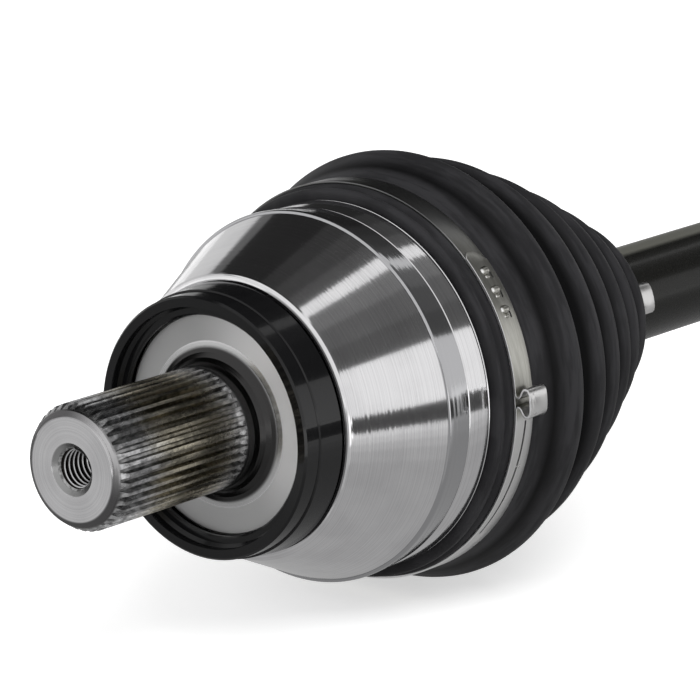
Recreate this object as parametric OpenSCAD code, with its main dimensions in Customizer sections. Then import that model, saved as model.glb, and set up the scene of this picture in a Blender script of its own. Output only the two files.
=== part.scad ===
// Front-axle drive shaft: a splined hub stub with a six-ball fixed joint, a solid bar
// and a six-ball plunging joint. X runs along the shaft from the hub towards the gearbox,
// and the origin lies on the axis in the plane where the hub seats on the bell.

/* [Hub stub] */
// Length from the hub shoulder to the end face of the stub
stub_len = 50.3; // [46:0.1:56]
// Outside diameter of the hub spline
hub_spline_d = 30; // [28:0.1:31]
// Number of teeth on the hub spline
hub_teeth = 40; // [30:1:44]
// Depth of the hub spline teeth
hub_tooth_h = 1.15; // [0.8:0.05:1.4]
// Gap between the end of the hub spline and the shoulder
hub_neck_len = 6.3; // [6:0.1:9]
// Angle by which the hub spline is turned from the ball tracks
hub_spline_turn = 3.1; // [0:0.1:9]
// Chamfer across the ends of the teeth at the end face
stub_chamfer = 2.8; // [1.5:0.1:3.2]
// Length over which the teeth rise behind the end face
tooth_end_len = 3; // [2:0.1:4]
// Diameter of the core of the hub bolt thread (M12)
thread_core_d = 10.4; // [8:0.1:12]
// Depth of the hub bolt thread
thread_depth = 34; // [20:1:40]
// Diameter of the countersink of the thread
thread_sink_d = 12.6; // [12.2:0.1:16]
// Outside diameter of the bright face that the hub seats on
shoulder_d = 52.6; // [48:0.1:54]

/* [Bell] */
// Distance from the hub shoulder to the centre of the outboard joint
out_centre = 42; // [41.5:0.1:43]
// Distance from the centre of the outboard joint to the mouth of the bell
mouth_reach = 18; // [16:0.1:19]
// Diameter of the seat of the pressed ring
ring_seat_d = 56; // [55:0.1:58]
// Length of the seat of the pressed ring
ring_seat_len = 7; // [6:0.1:8]
// Diameter of the bell at its front edge
bell_front_d = 70; // [68:0.1:71]
// Largest diameter of the bell
bell_d = 91.4; // [90:0.1:94]
// Distance from the hub shoulder to the largest diameter
bell_peak = 32.4; // [30:0.1:34]
// Diameter of the turned waist behind the largest diameter
waist_d = 86.6; // [86:0.1:88]
// Diameter of the lip in front of the large end of the boot
lip_d = 90; // [89:0.1:91]
// Diameter of the seat of the outboard boot on the bell
out_seat_d = 89; // [88:0.1:89.5]
// Diameter of the mouth at the rim
mouth_d = 73; // [70:0.1:76]

/* [Pressed ring] */
// Outside diameter at the rear edge of the ring
ring_rear_d = 66; // [64:0.1:67]
// Outside diameter at the front lip of the ring
ring_front_d = 63.4; // [62:0.1:64]
// How far the ring stands out in front of the hub shoulder
ring_reach = 5.4; // [4:0.1:7]
// Width of the front lip of the ring
ring_lip = 2.6; // [2:0.1:3.5]

/* [Ball joints] */
// Diameter of the balls
ball_d = 19; // [18.5:0.1:19.2]
// Radius of the curved tracks of the outboard joint
track_r = 30; // [29.8:0.1:30.4]
// Offset of each track centre from the joint centre
track_offset = 4.5; // [4:0.1:5]
// Diameter of the outside of the outboard cage
out_cage_d = 69.8; // [69:0.1:70.4]
// Diameter of the inside of the cages
cage_bore_d = 56.8; // [56:0.1:57.4]
// Width of the outboard cage
out_cage_w = 30; // [26:0.5:32]
// Width of the outboard inner race
out_race_w = 25; // [22:0.5:27]
// Radius of the ball circle of the inboard joint
in_pitch_r = 29.5; // [29.3:0.1:29.8]
// Diameter of the outside of the inboard cage
in_cage_d = 70.4; // [70:0.1:71]
// Offset of each face of the inboard cage from its centre
in_cage_offset = 5; // [4:0.1:6]

/* [Bar] */
// Distance between the two joint centres
centre_distance = 380; // [300:5:520]
// Diameter of the bar
bar_d = 25.6; // [24:0.1:27]
// Diameter of the bar inside the boots
neck_d = 22; // [20:0.1:22.4]
// Outside diameter of the splines at the ends of the bar
bar_spline_d = 24.8; // [24:0.1:26]
// Number of teeth on the splines of the bar
bar_teeth = 28; // [24:1:30]
// Depth of the teeth on the splines of the bar
bar_tooth_h = 1.1; // [0.8:0.05:1.3]
// Diameter of the collar that stops the outboard inner race
stop_collar_d = 27.6; // [27:0.1:30]

/* [Inboard housing] */
// Diameter of the housing
housing_d = 87; // [86:0.1:90]
// Distance from the joint centre to the mouth of the housing
housing_mouth = 42; // [41:0.1:44]
// Distance from the joint centre to the bottom of the hollow
housing_floor = 43.5; // [42.5:0.1:46]
// Thickness of the end wall of the housing
housing_end = 9; // [7:0.1:12]
// Diameter of the seat of the inboard boot on the housing
in_seat_d = 84; // [83:0.1:85]
// Diameter of the journal that runs in the gearbox seal
journal_d = 40; // [36:0.1:42]
// Length of the journal
journal_len = 22; // [18:0.5:26]
// Outside diameter of the gearbox spline
gear_spline_d = 28; // [26:0.1:30]
// Number of teeth on the gearbox spline
gear_teeth = 30; // [26:1:34]
// Length of the gearbox spline
gear_spline_len = 42; // [34:1:50]
// Diameter of the dust shield
shield_d = 66; // [60:0.5:76]
// Diameter of the seat of the dust shield
shield_seat_d = 44; // [43.5:0.1:46]
// Length of the seat of the dust shield
shield_seat_len = 5.4; // [5.2:0.1:7]

/* [Boots and clamps] */
// Wall of the folds of the boots
boot_wall = 1.8; // [1.4:0.1:2]
// Wall of the large collar of the outboard boot
out_collar_wall = 4.4; // [4.2:0.1:5]
// Wall of the large collar of the inboard boot
in_collar_wall = 4; // [3.8:0.1:4.6]
// Wall of the small collars of the boots
small_collar_wall = 2.2; // [1.9:0.1:2.8]
// Length of the small collars of the boots
small_collar_len = 9.8; // [9:0.1:11]
// Distance that the large collars reach over the bell and the housing
collar_reach = 13.4; // [12.4:0.1:14]
// Length of the outboard boot from the mouth of the bell to the small collar
out_boot_len = 81.7; // [76:0.1:86]
// Length of the inboard boot from the mouth of the housing to the small collar
in_boot_len = 67.4; // [62:0.1:72]
// Number of folds of the outboard boot
out_fold_count = 6; // [5:1:7]
// Number of folds of the inboard boot
in_fold_count = 5; // [4:1:6]
// Depth of the folds at the large end
fold_depth = 7.4; // [5.5:0.1:8]
// Bend radius of the largest crest, which the smaller crests follow
fold_bend_r = 3.8; // [3.2:0.1:4]
// How far the first crest of the outboard boot stands above its collar
out_fold_rise = 5; // [3:0.1:6]
// How far the first crest of the inboard boot stands above its collar
in_fold_rise = 0.8; // [0.4:0.1:3]
// How far the last crest of both boots stands above the small collar
last_fold_rise = 10.4; // [9:0.1:11]
// Thickness of the clamp strip
strip_t = 0.8; // [0.6:0.05:1]
// Width of the large clamps
large_clamp_w = 7; // [6:0.1:7.6]
// Width of the small clamps
small_clamp_w = 6; // [5:0.1:6.6]
// Height of the pinched ears of the large clamps above the strip
ear_h = 4; // [3.4:0.1:5]
// Height of the pinched ears of the small clamps above the strip
small_ear_h = 3.5; // [3.2:0.1:4.4]
// Length of the pinched ears along the strip
ear_span = 7.2; // [6.8:0.1:8]
// Number of hooks that lock each large clamp
hook_count = 3; // [2:1:3]
// Width of the hooks
hook_w = 3.2; // [2:0.1:4]
// Height of the hooks above the strip
hook_h = 0.6; // [0.4:0.05:0.8]

/* [Hidden] */
$fn = 96;

// The cages and the tracks are laid out for six balls in each joint
balls = 6;

// Clearances of the fits
press_gap = 0.02;
spline_gap = 0.03;
track_gap = 0.05;
inner_track_gap = 0.24;
// Angles over which the curved tracks run in the bell and in its inner race
bell_track = [40, 142];
race_track = [28, 150];
cage_gap = 0.1;
window_gap = 0.45;
window_slack = 1.5;
in_window_slack = 1.8;
boot_gap = 0.05;
// Gap between the legs of an ear, and how far its loop hangs above the strip
ear_throat = 2.4;
ear_lift = 0.7;
// How far a cutter reaches past the face that it opens
past = 1;
// Share of a tooth pitch that a tooth fills at its tip and at its root
tip_share = 0.36;
root_share = 0.7;
// Step from the tips of a spline down to the plain neck behind it
neck_step = 0.2;
// Length of the run-out of the tooth spaces
runout = 1.8;

ball_r = ball_d / 2;
ball_step = 360 / balls;
in_centre = out_centre + centre_distance;
mouth_x = out_centre + mouth_reach;
pitch_r = sqrt(track_r * track_r - track_offset * track_offset);
bell_sphere_r = out_cage_d / 2 + cage_gap;
race_sphere_r = cage_bore_d / 2 - cage_gap;
in_bore_r = in_cage_d / 2 + 2 * cage_gap;
in_race_sphere_r = cage_bore_d / 2 - 2 * cage_gap;
in_race_front = 12;
in_race_back = 11;
in_race_x = in_centre - in_race_front;
circlip_t = 1.6;
circlip_h = 2;
groove_h = 1.2;
bar_end_len = 3;
out_race_x = out_centre - out_race_w / 2;
bar_start = out_race_x - circlip_t - bar_end_len;
bar_stop = in_centre + in_race_back + circlip_t + bar_end_len;
collar_w = 3;
boot_seat_x = mouth_x - collar_reach;
out_collar_r = out_seat_d / 2 + out_collar_wall;
in_collar_r = in_seat_d / 2 + in_collar_wall;
small_collar_r = bar_d / 2 + small_collar_wall;
in_boot_x = in_centre - housing_mouth;
in_boot_end = in_boot_x - in_boot_len;
small_seat_x = mouth_x + out_boot_len;
// Two ridges in front of the large clamps, how deep they are cut and the room they take
ridge_w = 2;
ridge_dip = 0.6;
ridge_room = 2.15 * ridge_w;
// Distance from the last fold to the small clamps
small_clamp_set = 1;
large_clamp_x = boot_seat_x + ridge_room;
small_clamp_x = small_seat_x + small_clamp_set;
in_large_clamp_x = in_boot_x + collar_reach - ridge_room - large_clamp_w;
in_small_clamp_x = in_boot_end - small_clamp_set - small_clamp_w;
// Distance from the mouth to the first crest, and from the last crest to the small collar
first_crest = 11.1;
last_crest = 3.6;
// How the crests crowd towards the small end, and how the taper steepens
crowding = 0.93;
steepening = 1.19;
// Radius of the bend from the last fold into the small collar
foot_bend_r = 0.8;
// Angle of each ear from Y, and how far the outer strip runs before and behind it
out_ear_angle = 176.5;
out_small_ear_angle = 164;
in_ear_angle = 60;
large_overlap = [43.5, 45.5];
small_overlap = [54, 36];
// Angles from the ear to the first hook and from hook to hook
hook_start = 25.5;
hook_step = 6;
// Radius of the round back of a hook, and its slot in the outer strip
hook_r = 1.3;
hook_slot_len = 1.2;
hook_slot_gap = 0.25;
housing_back = in_centre + housing_floor + housing_end;
journal_back = housing_back + journal_len;
gear_spline_x = journal_back + 6;
stub_end = gear_spline_x + gear_spline_len + 6;
snap_x = gear_spline_x + gear_spline_len + 1.5;
stop_wire_r = 1.2;
stop_ring_x = in_boot_x + 3.5;
stop_ring_r = in_bore_r + 0.5;
shield_x = housing_back + 1;
shield_t = 1.5;

// An outline of x and radius pairs, turned about the shaft axis.
module turn(outline) {
    rotate([0, 90, 0])
        rotate_extrude()
            polygon([for (p = outline) [p[1], p[0]]]);
}

// The outline of a splined shaft with straight-sided teeth.
function spline_outline(teeth, tip_r, height, gap) = [
    for (i = [0:teeth - 1], k = [0:3])
        let (at_tip = k == 1 || k == 2)
        let (radius = at_tip ? tip_r : tip_r - height)
        let (half = 180 / teeth * (at_tip ? tip_share : root_share) + atan(gap / radius))
        let (angle = i * 360 / teeth + (k < 2 ? -half : half))
        (radius + gap) * [cos(angle), sin(angle)]
];

module splined_length(x, length, teeth, tip_r, height, gap = 0) {
    translate([x, 0, 0])
        rotate([0, 90, 0])
            linear_extrude(height = length)
                polygon(spline_outline(teeth, tip_r, height, gap));
}

// Points of an arc about a centre, from one angle to another.
function arc(centre, radius, from, to, steps) = [
    for (k = [0:steps])
        let (angle = from + (to - from) * k / steps)
        centre + radius * [cos(angle), sin(angle)]
];

// One curved ball track in the plane of the shaft axis and Z.
module curved_track(centre_x, radius, sweep) {
    translate([centre_x, 0, 0])
        rotate([90, 0, 0])
            rotate([0, 0, sweep[0]])
                rotate_extrude(angle = sweep[1] - sweep[0])
                    translate([track_r, 0])
                        circle(radius);
}

// One straight ball track along the shaft.
module straight_track(from_x, to_x, radius) {
    translate([from_x, 0, in_pitch_r])
        rotate([0, 90, 0])
            cylinder(h = to_x - from_x, r = radius);
}

// Repeats what it is given at each ball, where the first ball lies at this angle from Y.
module at_each_ball(first) {
    for (i = [0:balls - 1])
        rotate([first - 90 + i * ball_step, 0, 0])
            children();
}

// A round-ended slot through a cage, where a ball sits.
module ball_window(centre_x, gap, slack) {
    half = ball_r + gap;
    translate([centre_x, 0, pitch_r / 2])
        linear_extrude(height = pitch_r) {
            translate([0, slack]) circle(half);
            translate([0, -slack]) circle(half);
            square([2 * half, 2 * slack], center = true);
        }
}

// A flat or wire ring with a gap, seated in a groove.
module open_ring(x, thick, inner_r, outer_r, gap_w) {
    difference() {
        turn([[x, inner_r], [x + thick, inner_r], [x + thick, outer_r], [x, outer_r]]);
        translate([x - past, -gap_w / 2, 0])
            cube([thick + 2 * past, gap_w, outer_r + past]);
    }
}

module bell() {
    neck_r = hub_spline_d / 2 - neck_step;
    flare_r = hub_neck_len - 1;
    tip_r = hub_spline_d / 2;
    root_r = tip_r - hub_tooth_h;
    tooth_rise = hub_tooth_h + neck_step;
    end_slope = 0.75 * tooth_end_len / tooth_rise;
    front_x = ring_seat_len;
    seat_chamfer = (ring_seat_d - shoulder_d) / 2;
    // Rounded edge at the front of the cone, and the taper inside the mouth
    edge_r = 1.6;
    mouth_flare = 5;
    inner_mouth_r = bell_sphere_r - mouth_flare;
    waist_r = waist_d / 2;
    waist_line_x = mouth_x - 20;
    line = 0.2;
    color("lightgray")
        difference() {
            union() {
                // Splined stub with its teeth chamfered at the end face.
                intersection() {
                    rotate([-hub_spline_turn, 0, 0])
                        splined_length(-stub_len, stub_len - hub_neck_len, hub_teeth, tip_r, hub_tooth_h);
                    turn([
                        [-stub_len, 0], [-stub_len, tip_r - stub_chamfer],
                        [-stub_len + 0.25 * tooth_end_len, tip_r - tooth_rise],
                        [-stub_len + tooth_end_len + past * end_slope, tip_r + past],
                        [0, tip_r + past], [0, 0]
                    ]);
                }
                // Run-out of the tooth spaces, neck and flare up to the shoulder.
                turn(concat(
                    [[-hub_neck_len - 2 * runout, 0], [-hub_neck_len - 2 * runout, root_r - past],
                     [-hub_neck_len - runout, root_r - past / 4], [-hub_neck_len, neck_r]],
                    arc([-flare_r, neck_r + flare_r], flare_r, -90, 0, 6),
                    [[0, shoulder_d / 2], [seat_chamfer, ring_seat_d / 2],
                     [front_x, ring_seat_d / 2], [front_x, bell_front_d / 2 - edge_r]],
                    arc([front_x + edge_r, bell_front_d / 2 - edge_r], edge_r, 180, 115, 4),
                    [[bell_peak - 0.8, bell_d / 2 - 0.3], [bell_peak, bell_d / 2],
                     [bell_peak + 1, bell_d / 2], [bell_peak + 1.8, waist_r + 0.8],
                     [waist_line_x - line, waist_r + line / 2], [waist_line_x + line, waist_r - line / 2],
                     [boot_seat_x - 1.4, waist_r - line / 2], [boot_seat_x - 1, lip_d / 2 - 0.5],
                     [boot_seat_x - 0.7, lip_d / 2], [boot_seat_x - 0.2, lip_d / 2],
                     [boot_seat_x, out_seat_d / 2], [mouth_x - 0.6, out_seat_d / 2],
                     [mouth_x, out_seat_d / 2 - 0.6], [mouth_x, 0]]
                ));
            }
            // Hollow for the cage, its mouth and the six curved tracks.
            translate([out_centre, 0, 0]) sphere(bell_sphere_r);
            translate([out_centre, 0, 0])
                rotate([0, 90, 0])
                    cylinder(h = mouth_reach + past, r1 = inner_mouth_r,
                             r2 = mouth_d / 2 + past * (mouth_d / 2 - inner_mouth_r) / mouth_reach);
            at_each_ball(0) curved_track(out_centre + track_offset, ball_r + track_gap, bell_track);
            // Hub bolt thread and its countersink.
            translate([-stub_len - past, 0, 0])
                rotate([0, 90, 0])
                    cylinder(h = thread_depth + past, r = thread_core_d / 2);
            turn([
                [-stub_len - past, 0], [-stub_len - past, thread_sink_d / 2 + past],
                [-stub_len + thread_sink_d / 2, 0]
            ]);
        }
}

module pressed_ring() {
    lip_r = ring_front_d / 2 - ring_lip;
    inner_r = shoulder_d / 2 + 0.3;
    band_x = -ring_reach + 4.4;
    color([0.1, 0.1, 0.11])
        turn([
            [-ring_reach, lip_r], [-ring_reach, ring_front_d / 2 - 0.5],
            [-ring_reach + 0.5, ring_front_d / 2], [band_x, ring_front_d / 2 + 0.3],
            [band_x + 0.2, ring_front_d / 2 + 0.7], [ring_seat_len - 0.9, ring_rear_d / 2],
            [ring_seat_len - 0.4, ring_rear_d / 2 - 0.5],
            [ring_seat_len - 0.4, ring_seat_d / 2 + press_gap],
            [2, ring_seat_d / 2 + press_gap], [2, ring_seat_d / 2 + 0.4],
            [-0.4, inner_r + 0.4], [-1.2, inner_r], [-2, inner_r], [-2.4, inner_r + 0.4],
            [-2.4, lip_r - 0.8], [-3.2, lip_r]
        ]);
}

// Folds of a boot are given as x, radius, bend radius and side, 1 for a crest and -1 for
// a valley. A flank is straight and touches the two bends beside it.
function bend_centre(f) = [f[0], f[1] - f[3] * f[2]];
function flank(f, g) =
    let (crest = f[3] > 0 ? f : g, valley = f[3] > 0 ? g : f)
    let (gap = bend_centre(valley) - bend_centre(crest))
    let (lean = acos((crest[2] + valley[2]) / norm(gap)))
    valley[0] > crest[0] ? atan(gap[1] / gap[0]) + lean : 180 + atan(gap[1] / gap[0]) - lean;
function fold_line(folds, inset, floor_r) = [
    for (i = [1:len(folds) - 2], k = [0:6])
        let (f = folds[i], from = flank(folds[i - 1], f), to = flank(f, folds[i + 1]))
        let (angle = from + (to - from) * k / 6)
        let (p = bend_centre(f) + f[3] * (f[2] - f[3] * inset) * [cos(angle), sin(angle)])
        [p[0], max(p[1], floor_r)]
];

// The crests and valleys of a boot, counted from the mouth that it covers. The share runs
// from 0 at the first crest to 1 at the last, and every second one is a valley.
function boot_folds(count, length, collar_r, rise) =
    let (first_r = collar_r + rise, last_r = small_collar_r + last_fold_rise)
    let (steps = 2 * count - 2, reach = length - first_crest - last_crest)
    concat(
        [[ridge_w / 2, collar_r + ridge_dip / 2, 0, -1]],
        [for (k = [0:steps])
            let (share = k / steps, crest = k % 2 == 0)
            let (x = first_crest + reach * pow(share, crowding))
            let (radius = first_r - (first_r - last_r) * pow(share, steepening))
            let (bend_r = fold_bend_r * (1 - share / 3))
            crest ? [x, radius, bend_r, 1]
                  : [x, radius - fold_depth * (1 - share / 5), 0.55 * bend_r, -1]],
        [[length - ridge_dip, small_collar_r, foot_bend_r, -1],
         [length + small_collar_len, small_collar_r + collar_w, foot_bend_r, 1]]
    );

// A boot from the end of its large collar, behind the mouth, to the end of its small one.
// Two ridges stand in front of the seat of the clamp.
function boot_outline(count, length, seat_r, collar_r, rise) =
    let (bar_seat_r = bar_d / 2 + boot_gap, seat_x = -collar_reach)
    let (folds = boot_folds(count, length, collar_r, rise))
    let (outer = fold_line(folds, 0, small_collar_r))
    let (inner = fold_line(folds, boot_wall, bar_seat_r))
    concat(
        [[seat_x, seat_r + boot_gap], [seat_x, collar_r - 2.6 * ridge_dip],
         [seat_x + 0.4 * ridge_w, collar_r - ridge_dip], [seat_x + ridge_w, collar_r - ridge_dip],
         [seat_x + 1.2 * ridge_w, collar_r - 2 * ridge_dip],
         [seat_x + 1.5 * ridge_w, collar_r - ridge_dip / 3],
         [seat_x + 1.8 * ridge_w, collar_r], [0, collar_r], [folds[0][0], folds[0][1]]],
        outer,
        [[length, small_collar_r], [length + small_collar_len, small_collar_r],
         [length + small_collar_len, bar_seat_r], [length + 1, bar_seat_r]],
        [for (i = [len(inner) - 1:-1:0]) inner[i]],
        [[0.4, seat_r + 2], [0.2, seat_r + boot_gap]]
    );
// An outline moved along the shaft, and the same seen from the other end.
function shifted(outline, x) = [for (p = outline) [x + p[0], p[1]]];
function mirrored(outline, x) = [for (i = [len(outline) - 1:-1:0]) [x - outline[i][0], outline[i][1]]];

module out_boot() {
    color([0.18, 0.18, 0.19])
        turn(shifted(boot_outline(out_fold_count, out_boot_len, out_seat_d / 2, out_collar_r, out_fold_rise),
                     mouth_x));
}

module in_boot() {
    color([0.18, 0.18, 0.19])
        turn(mirrored(boot_outline(in_fold_count, in_boot_len, in_seat_d / 2, in_collar_r, in_fold_rise),
                      in_boot_x));
}

// A stretch of a flat ring, from one angle to another, in the plane of Y and Z.
module ring_stretch(inner_r, outer_r, from, to) {
    far = 2 * outer_r;
    middle = (from + to) / 2;
    intersection() {
        difference() {
            circle(outer_r);
            circle(inner_r);
        }
        polygon([
            [0, 0], far * [cos(from), sin(from)], far * [cos(middle), sin(middle)],
            far * [cos(to), sin(to)]
        ]);
    }
}

// The outline of a flattened loop: two round ends with straight sides between them.
module flat_loop(reach, radius) {
    translate([reach, 0]) circle(radius);
    translate([-reach, 0]) circle(radius);
    square([2 * reach, 2 * radius], center = true);
}

// A pinched ear seen from its end: two legs that rise from the strip into an open loop.
module ear_outline(foot_r, height) {
    bend_r = (height - ear_lift) / 2;
    reach = ear_span / 2 - bend_r;
    translate([0, foot_r + height - bend_r])
        difference() {
            flat_loop(reach, bend_r);
            flat_loop(reach, bend_r - strip_t);
            translate([-ear_throat / 2, -bend_r - past]) square([ear_throat, bend_r + past]);
        }
    for (side = [-1, 1])
        translate([side * (ear_throat + strip_t) / 2 - strip_t / 2, foot_r - 1.5 * strip_t])
            square([strip_t, ear_lift + 2 * strip_t]);
}

// A clamp of one strip: a closed band, the outer end that overlaps it, and the ear.
module ear_clamp(x, seat_r, width, height, ear_angle, overlap) {
    inner_r = seat_r + boot_gap;
    band_r = inner_r + strip_t;
    outer_r = band_r + strip_t;
    mid_leg = asin((ear_throat + strip_t) / 2 / outer_r);
    color([0.72, 0.72, 0.68])
        translate([x, 0, 0])
            rotate([90, 0, 90])
                linear_extrude(height = width) {
                    difference() {
                        circle(band_r);
                        circle(inner_r);
                    }
                    ring_stretch(band_r - strip_t / 2, outer_r, ear_angle - overlap[0], ear_angle - mid_leg);
                    ring_stretch(band_r - strip_t / 2, outer_r, ear_angle + mid_leg, ear_angle + overlap[1]);
                    rotate(ear_angle - 90) ear_outline(outer_r, height);
                }
}

// The round back of a hook, rising from the outer strip.
module hook_outline(foot_r) {
    intersection() {
        translate([0, foot_r + hook_h - hook_r]) circle(hook_r);
        translate([-2 * hook_r, foot_r - strip_t / 2]) square([4 * hook_r, hook_r + strip_t]);
    }
}

// A clamp whose outer end is held by hooks, each with a slot beside it.
module hooked_clamp(x, seat_r, width, height, ear_angle, overlap) {
    outer_r = seat_r + boot_gap + 2 * strip_t;
    side = (width - hook_w) / 2;
    difference() {
        union() {
            ear_clamp(x, seat_r, width, height, ear_angle, overlap);
            for (i = [0:hook_count - 1])
                color([0.72, 0.72, 0.68])
                    translate([x + side, 0, 0])
                        rotate([90, 0, 90])
                            linear_extrude(height = hook_w)
                                rotate(ear_angle - hook_start - i * hook_step - 90)
                                    hook_outline(outer_r);
        }
        for (i = [0:hook_count - 1])
            rotate([ear_angle - hook_start - i * hook_step - 90, 0, 0])
                translate([x + side, -hook_r - hook_slot_gap - hook_slot_len, outer_r - 0.9 * strip_t])
                    cube([hook_w, hook_slot_len, strip_t + past]);
    }
}

module out_large_clamp() {
    hooked_clamp(large_clamp_x, out_collar_r, large_clamp_w, ear_h, out_ear_angle, large_overlap);
}

module out_small_clamp() {
    ear_clamp(small_clamp_x, small_collar_r, small_clamp_w, small_ear_h, out_small_ear_angle, small_overlap);
}

module in_large_clamp() {
    hooked_clamp(in_large_clamp_x, in_collar_r, large_clamp_w, ear_h, in_ear_angle, large_overlap);
}

module in_small_clamp() {
    ear_clamp(in_small_clamp_x, small_collar_r, small_clamp_w, small_ear_h, in_ear_angle, small_overlap);
}

module out_inner_race() {
    bevel = 1;
    half = out_race_w / 2;
    edge_r = sqrt(race_sphere_r * race_sphere_r - half * half);
    color("silver")
        difference() {
            intersection() {
                translate([out_centre, 0, 0]) sphere(race_sphere_r);
                turn([
                    [out_centre - half, 0], [out_centre - half, edge_r - bevel],
                    [out_centre - half + bevel, race_sphere_r + past],
                    [out_centre + half - bevel, race_sphere_r + past],
                    [out_centre + half, edge_r - bevel], [out_centre + half, 0]
                ]);
            }
            at_each_ball(0)
                curved_track(out_centre - track_offset, ball_r + inner_track_gap, race_track);
            splined_length(out_centre - half - past, out_race_w + 2 * past, bar_teeth,
                           bar_spline_d / 2, bar_tooth_h, spline_gap);
        }
}

module out_circlip() {
    color("dimgray")
        open_ring(out_race_x - circlip_t, circlip_t - press_gap, bar_spline_d / 2 - groove_h + press_gap,
                  bar_spline_d / 2 + circlip_h, 4);
}

module out_cage() {
    color("gray")
        difference() {
            translate([out_centre, 0, 0])
                rotate([0, 90, 0])
                    rotate_extrude()
                        intersection() {
                            difference() {
                                circle(out_cage_d / 2);
                                circle(cage_bore_d / 2);
                            }
                            translate([0, -out_cage_w / 2]) square([out_cage_d, out_cage_w]);
                        }
            at_each_ball(0) ball_window(out_centre, window_gap, window_slack);
        }
}

module out_ball(number) {
    angle = (number - 1) * ball_step;
    color("white")
        translate([out_centre, pitch_r * cos(angle), pitch_r * sin(angle)])
            sphere(ball_r);
}

module bar() {
    tip_r = bar_spline_d / 2;
    root_r = tip_r - bar_tooth_h;
    neck_r = neck_d / 2;
    out_stop = out_centre + out_race_w / 2 + press_gap;
    in_stop = in_race_x - press_gap;
    groove_r = tip_r - groove_h;
    collar_r = stop_collar_d / 2;
    taper = 6;
    color([0.15, 0.15, 0.15])
        union() {
            // Splined ends, each with the groove of its circlip.
            splined_length(out_race_x, out_race_w - runout, bar_teeth, tip_r, bar_tooth_h);
            splined_length(in_race_x + runout, in_race_front + in_race_back - runout, bar_teeth,
                           tip_r, bar_tooth_h);
            turn([
                [bar_start, 0], [bar_start, tip_r - 1.6], [bar_start + 1.2, tip_r - 0.4],
                [out_race_x - circlip_t, tip_r - 0.4], [out_race_x - circlip_t, groove_r],
                [out_race_x + past, groove_r], [out_race_x + past, root_r - past / 2],
                [out_stop - runout - past, root_r - past / 2], [out_stop - 0.5, root_r + 0.3],
                [out_stop, root_r + 0.3], [out_stop, collar_r - 0.4], [out_stop + 0.4, collar_r],
                [out_stop + collar_w - 0.4, collar_r], [out_stop + collar_w, collar_r - 0.4],
                [out_stop + collar_w + 2, neck_r],
                [small_seat_x - collar_w - taper, neck_r], [small_seat_x - collar_w, bar_d / 2],
                [in_boot_end + collar_w, bar_d / 2], [in_boot_end + collar_w + taper, neck_r],
                [in_stop - collar_w - 2, neck_r], [in_stop - collar_w, collar_r - 0.4],
                [in_stop - collar_w + 0.4, collar_r], [in_stop - 0.4, collar_r],
                [in_stop, collar_r - 0.4], [in_stop, root_r + 0.3], [in_stop + 0.5, root_r + 0.3],
                [in_stop + runout + past, root_r - past / 2],
                [in_centre + in_race_back - past, root_r - past / 2],
                [in_centre + in_race_back - past, groove_r],
                [in_centre + in_race_back + circlip_t, groove_r],
                [in_centre + in_race_back + circlip_t, tip_r - 0.4], [bar_stop - 1.2, tip_r - 0.4],
                [bar_stop, tip_r - 1.6], [bar_stop, 0]
            ]);
        }
}

module in_inner_race() {
    bevel = 1;
    back_x = in_centre + in_race_back;
    back_r = sqrt(pow(in_race_sphere_r, 2) - pow(in_race_back + in_cage_offset, 2));
    color("silver")
        difference() {
            intersection() {
                translate([in_centre - in_cage_offset, 0, 0]) sphere(in_race_sphere_r);
                turn([
                    [in_race_x, 0], [in_race_x, in_race_sphere_r - 2],
                    [in_race_x + bevel, in_race_sphere_r + past], [back_x - bevel, in_race_sphere_r + past],
                    [back_x, back_r - bevel], [back_x, 0]
                ]);
            }
            at_each_ball(30)
                straight_track(in_race_x - past, back_x + past, ball_r + inner_track_gap);
            splined_length(in_race_x - past, back_x - in_race_x + 2 * past, bar_teeth,
                           bar_spline_d / 2, bar_tooth_h, spline_gap);
        }
}

module in_circlip() {
    color("dimgray")
        open_ring(in_centre + in_race_back + press_gap, circlip_t - press_gap,
                  bar_spline_d / 2 - groove_h + press_gap, bar_spline_d / 2 + circlip_h, 4);
}

module in_cage() {
    front = 13;
    back = 14;
    bar_way_r = 24;
    color("gray")
        difference() {
            translate([in_centre, 0, 0])
                rotate([0, 90, 0])
                    rotate_extrude()
                        intersection() {
                            difference() {
                                translate([0, in_cage_offset]) circle(in_cage_d / 2);
                                translate([0, -in_cage_offset]) circle(cage_bore_d / 2);
                                square([bar_way_r, back + past]);
                            }
                            translate([0, -front]) square([in_cage_d, front + back]);
                        }
            at_each_ball(30) ball_window(in_centre, window_gap, in_window_slack);
        }
}

module in_ball(angle) {
    color("white")
        translate([in_centre, in_pitch_r * cos(angle), in_pitch_r * sin(angle)])
            sphere(ball_r);
}

module in_axis_balls() {
    in_ball(90);
    in_ball(270);
}

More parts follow.
